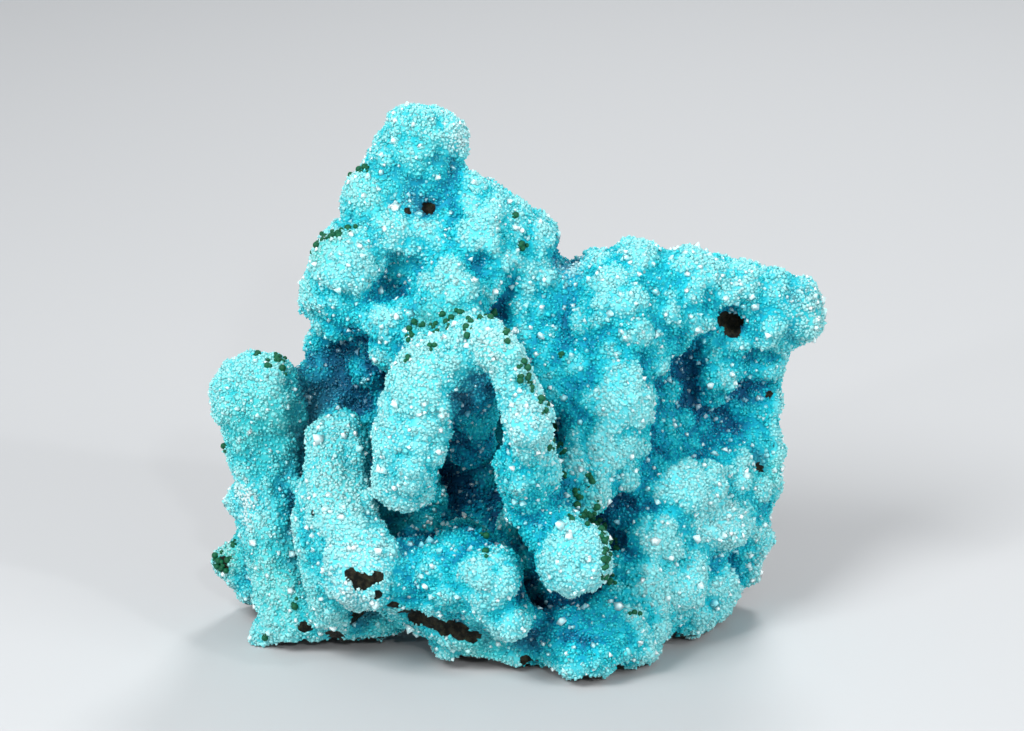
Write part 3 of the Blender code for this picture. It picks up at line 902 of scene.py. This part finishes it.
@dataclass
class Druse:
    """The crust of quartz: small pointed crystals that stand close together over the stone.

    They thin out from where the matrix starts to show. The scatter, the unevenness of their
    rings, the lean of their tips and their heights are shares of a crystal's radius.
    """

    stone: StoneBody
    sides: int = 5
    pieces: int = 4
    radius: float = 0.285 * MM
    loose: int = 18000
    large: int = 2600
    bare_from: tuple = (0.25, 0.6)
    tilt: float = 0.38
    sunk: float = 0.35
    scatter: float = 0.5
    uneven: float = 0.25
    lean: float = 0.35
    heights: tuple = (0.8, 1.3)
    cell_reach: float = 0.42
    seed: int = 21

    def build(self) -> list[bpy.types.Object]:
        """Make the close crust in a few pieces, and the loose and the large crystals in one each.

        Returns:
            The pieces.
        """
        random = np.random.default_rng(self.seed)
        rock = self.stone.masks["rock"]
        covered = np.flatnonzero(rock < random.uniform(*self.bare_from, len(rock)))
        made = []
        for share in np.array_split(random.permutation(covered), self.pieces):
            made.append(self.piece(f"druse_{len(made) + 1}", share, CLOSE, random))
        few = random.choice(covered, self.loose, replace=False)
        made.append(self.piece("loose_crystals", few, LOOSE, random))
        few = random.choice(covered, self.large, replace=False)
        made.append(self.piece("large_crystals", few, LARGE, random))
        plain = DruseFinish().dress()
        # The large crystals take a whiter colour, partly milk-white quartz and partly painted glints,
        # on a glossier surface.
        bright = DruseFinish(
            "bright_crystals", see_through=0.05, shine=0.7, roughness=0.02, whiteness_and_glint=0.92
        ).dress()
        for piece in made:
            piece.data.materials.append(bright if piece is made[-1] else plain)
            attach(piece, "root")
        return made

    def piece(
        self, name: str, near: np.ndarray, growth: Growth, random: np.random.Generator
    ) -> bpy.types.Object:
        """Make one piece of joined crystals.

        Args:
            name: the piece's name.
            near: the stone's vertex by which each crystal stands.
            growth: their kind.
            random: the source of its draws.

        Returns:
            The piece's object.
        """
        count = len(near)
        usual = self.radius * growth.size
        radii = usual * np.exp(random.normal(0, growth.size_spread, count))
        normals = self.stone.normals[near]
        aside = random.normal(0, self.scatter * self.radius, (count, 3))
        aside -= (aside * normals).sum(1)[:, None] * normals
        axes = normals + random.normal(0, self.tilt, (count, 3))
        axes /= np.linalg.norm(axes, axis=1, keepdims=True)
        first = np.cross(axes, random.normal(size=(count, 3)))
        first /= np.linalg.norm(first, axis=1, keepdims=True)
        second = np.cross(axes, first)
        turns = np.arange(self.sides) * math.tau / self.sides
        reach = 1 + random.uniform(-self.uneven, self.uneven, (count, self.sides))
        reach = radii[:, None] * reach
        ring = first[:, None] * (reach * np.cos(turns))[..., None]
        ring = ring + second[:, None] * (reach * np.sin(turns))[..., None]
        stand = radii * (growth.rise - self.sunk)
        base = self.stone.points[near] + aside + axes * stand[:, None]
        lean = random.uniform(-self.lean, self.lean, (count, 2))
        height = random.uniform(*self.heights, count)
        tips = axes * height[:, None] + first * lean[:, :1] + second * lean[:, 1:]
        tips = base + tips * radii[:, None]
        points = np.concatenate([base[:, None] + ring, tips[:, None]], axis=1).reshape(-1, 3)
        mesh = self.joined(name, points, count)
        whole = self.sides + 1
        for mask in ("open", "green", "white"):
            store(mesh, mask, np.repeat(self.stone.masks[mask][near], whole))
        store(mesh, "chance", np.repeat(random.uniform(*growth.chance, count), whole))
        store(mesh, "tip", np.tile([0.0] * self.sides + [1.0], count))
        piece = bpy.data.objects.new(name, mesh)
        bpy.context.scene.collection.objects.link(piece)
        return piece

    def joined(self, name: str, points: np.ndarray, count: int) -> bpy.types.Mesh:
        """Make the mesh of many pyramids, each with a cell of its own in the bake's map.

        Args:
            name: the mesh's name.
            points: the corners, a ring and a tip for each pyramid in turn.
            count: how many pyramids.

        Returns:
            The mesh.
        """
        sides = self.sides
        start = np.arange(count)[:, None] * (sides + 1)
        ring = np.arange(sides)
        floors = start + ring[::-1]
        walls = np.stack([ring, (ring + 1) % sides, np.full(sides, sides)], axis=1)
        walls = (start[:, :, None] + walls).reshape(-1, 3)
        corners = np.concatenate([floors.ravel(), walls.ravel()])
        wall_starts = count * sides + np.arange(len(walls)) * 3
        starts = np.concatenate([np.arange(count) * sides, wall_starts])
        mesh = bpy.data.meshes.new(name)
        mesh.vertices.add(len(points))
        mesh.vertices.foreach_set("co", points.astype(np.float32).ravel())
        mesh.loops.add(len(corners))
        mesh.loops.foreach_set("vertex_index", corners.astype(np.int32))
        mesh.polygons.add(len(starts))
        mesh.polygons.foreach_set("loop_start", starts.astype(np.int32))
        mesh.update(calc_edges=True)
        mesh.validate()
        across = math.ceil(math.sqrt(count))
        cell, corner = np.divmod(corners, sides + 1)
        turn = corner * math.tau / sides
        out = np.where(corner == sides, 0.0, self.cell_reach)
        column = cell % across + 0.5 + out * np.cos(turn)
        row = cell // across + 0.5 + out * np.sin(turn)
        spot = (np.stack([column, row], axis=1) / across).astype(np.float32)
        mesh.uv_layers.new(name="OFBake").uv.foreach_set("vector", spot.ravel())
        return mesh


@dataclass
class Malachite:
    """Dark green balls that sit on the druse, in rows and clusters."""

    stone: StoneBody
    name: str = "malachite_balls"
    radius: float = 0.42 * MM
    roundness: int = 2
    each: int = 3
    main_size: tuple = (0.8, 1.1)
    main_scatter: float = 0.6
    small_size: tuple = (0.45, 0.85)
    small_scatter: float = 2.6
    rise: float = 0.45
    seed: int = 5
    rows: tuple = (
        ("arch_top", (
            (410, 330), (412, 336), (415, 322), (424, 326), (437, 325), (438, 332), (447, 323),
            (452, 318), (460, 314), (444, 314), (468, 335), (467, 328), (470, 322), (480, 320),
            (490, 318), (493, 312),
        )),
        ("right_limb", (
            (505, 335), (508, 341), (523, 362), (527, 367), (520, 378), (527, 377), (532, 388),
            (540, 398), (548, 402), (545, 410), (555, 420), (556, 428), (558, 424), (553, 440),
            (548, 447), (562, 445), (566, 452), (565, 475),
        )),
        ("above_lower_ball", (
            (576, 490), (590, 477), (592, 481), (577, 505), (583, 512), (590, 515), (588, 524),
            (600, 520), (604, 526), (607, 534), (600, 536), (612, 540), (616, 548), (607, 558),
            (610, 575), (612, 582),
        )),
        ("single", (
            (484, 536), (486, 552), (430, 345), (408, 357), (562, 355), (634, 612), (296, 606),
            (266, 637),
        )),
        ("column_top", (
            (268, 352), (275, 354), (280, 358), (268, 366), (282, 370), (257, 355), (277, 361),
            (284, 355),
        )),
        ("tower", ((516, 217), (520, 243), (521, 247), (366, 168))),
        ("shoulder", ((322, 240), (331, 236), (342, 232), (311, 251))),
        ("column_foot", ((226, 446), (222, 548), (228, 543), (216, 556))),
        ("beside_lower_ball", ((572, 520), (581, 517))),
        ("lower_ball_rim", (
            (604, 540), (605, 550), (603, 560), (600, 530), (596, 524), (606, 566), (603, 576),
            (588, 520),
        )),
        ("shoulder_edge", ((317, 246), (326, 238), (337, 234), (348, 230))),
        ("column_foot_edge", (
            (219, 560), (222, 566), (229, 560), (226, 570), (234, 546), (218, 566),
        )),
        ("neck", ((352, 176), (361, 172))),
        ("lower_ball_top", ((579, 498), (596, 506), (594, 518), (601, 527))),
    )

    def build(self) -> bpy.types.Object:
        """Model one ball, and set it down at each place with smaller ones beside it.

        Returns:
            The object with all the balls.
        """
        bpy.ops.object.select_all(action="DESELECT")
        bpy.ops.mesh.primitive_ico_sphere_add(subdivisions=self.roundness, radius=self.radius)
        ball = bpy.context.object
        ball.name = self.name
        shape = np.array([vert.co for vert in ball.data.vertices])
        faces = np.array([face.vertices for face in ball.data.polygons])
        random = np.random.default_rng(self.seed)
        points = []
        for _, places in self.rows:
            for x, y in places:
                points.extend(shape * size + centre for size, centre in self.cluster(x, y, random))
        count = len(points)
        joined = (faces[None] + (np.arange(count) * len(shape))[:, None, None]).reshape(-1, 3)
        mesh = bpy.data.meshes.new(self.name)
        mesh.from_pydata(np.concatenate(points), [], joined)
        ball.data = mesh
        only(ball)
        bpy.ops.object.shade_smooth()
        mesh.materials.append(MalachiteFinish().dress())
        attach(ball, "root")
        return ball

    def cluster(self, x: float, y: float, random: np.random.Generator) -> list[tuple]:
        """Place one main ball and its smaller neighbours near a pixel.

        Args:
            x: the pixel's column.
            y: the pixel's row.
            random: the source of its draws.

        Returns:
            Each ball's size, as a share of the usual one, and its centre.
        """
        balls = []
        for number in range(self.each):
            jitter = random.normal(0, self.small_scatter if number else self.main_scatter, 2)
            found = self.stone.find(x + jitter[0], y + jitter[1])
            if found is None:
                continue
            size = random.uniform(*(self.small_size if number else self.main_size))
            centre = np.array(found[0] + found[1] * self.radius * self.rise * size)
            balls.append((size, centre))
        return balls


@dataclass(frozen=True)
class Studio:
    """A plain pale floor, soft lights and small bright ones that the crystals catch.

    Each light has its name, its place, its width in metres and its power in watts.
    """

    floor_size: float = 6.0
    floor_drop: float = 0.02 * MM
    floor_colour: tuple = (0.46, 0.47, 0.48)
    floor_roughness: float = 0.7
    lit_height: float = 35 * MM
    lights: tuple = (
        ("key", (-0.26, -0.30, 0.42), 0.22, 3.15),
        ("fill", (0.42, -0.28, 0.22), 0.20, 1.1),
        ("rim", (0.10, 0.34, 0.38), 0.14, 1.2),
        ("spark_left", (-0.40, -0.36, 0.20), 0.03, 0.6),
        ("spark_front", (0.08, -0.52, 0.32), 0.03, 0.6),
        ("spark_right", (0.34, -0.30, 0.40), 0.03, 0.5),
    )
    world_colour: tuple = (0.93, 0.96, 1.0)
    world_strength: float = 0.36

    def build(self) -> None:
        """Set up the floor, the lights and the world."""
        self.add_floor()
        for name, place, size, power in self.lights:
            self.add_light(name, Vector(place), size, power)
        world = bpy.data.worlds.new("studio")
        world.use_nodes = True
        background = world.node_tree.nodes["Background"].inputs
        background["Color"].default_value = (*self.world_colour, 1.0)
        background["Strength"].default_value = self.world_strength
        bpy.context.scene.world = world

    def add_floor(self) -> None:
        """Lay the floor just under the specimen's foot."""
        bpy.ops.object.select_all(action="DESELECT")
        place = (0, 0, -self.floor_drop)
        bpy.ops.mesh.primitive_plane_add(size=self.floor_size, location=place)
        floor = bpy.context.object
        floor.name = "floor"
        bpy.ops.object.transform_apply(location=True)
        paint = Finish("floor_paint", Roughness=self.floor_roughness)
        paint.shader.inputs["Base Color"].default_value = (*self.floor_colour, 1.0)
        floor.data.materials.append(paint.material)

    def add_light(self, name: str, place: Vector, size: float, power: float) -> None:
        """Hang one square light, turned to the middle of the specimen.

        Args:
            name: the light's name.
            place: where it hangs.
            size: its width in metres.
            power: its power in watts.
        """
        lamp = bpy.data.lights.new(name, "AREA")
        lamp.size = size
        lamp.energy = power
        light = bpy.data.objects.new(name, lamp)
        light.location = place
        light.rotation_mode = "QUATERNION"
        aim = Vector((0, 0, self.lit_height)) - place
        light.rotation_quaternion = aim.to_track_quat("-Z", "Y")
        bpy.context.scene.collection.objects.link(light)


def main() -> None:
    """Build the specimen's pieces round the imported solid."""
    logging.basicConfig(level=logging.INFO)
    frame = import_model()
    view = FaceView()
    view.add_camera()
    stone = StoneBody(view, frame["nodes"]["chrysocolla_specimen"])
    pieces = [stone.build(), *Druse(stone).build(), Malachite(stone).build()]
    Studio().build()
    bpy.context.scene.view_settings.view_transform = "Standard"
    for piece in pieces:
        log.info("%s: %d faces", piece.name, len(piece.data.polygons))


if __name__ == "__main__":
    main()
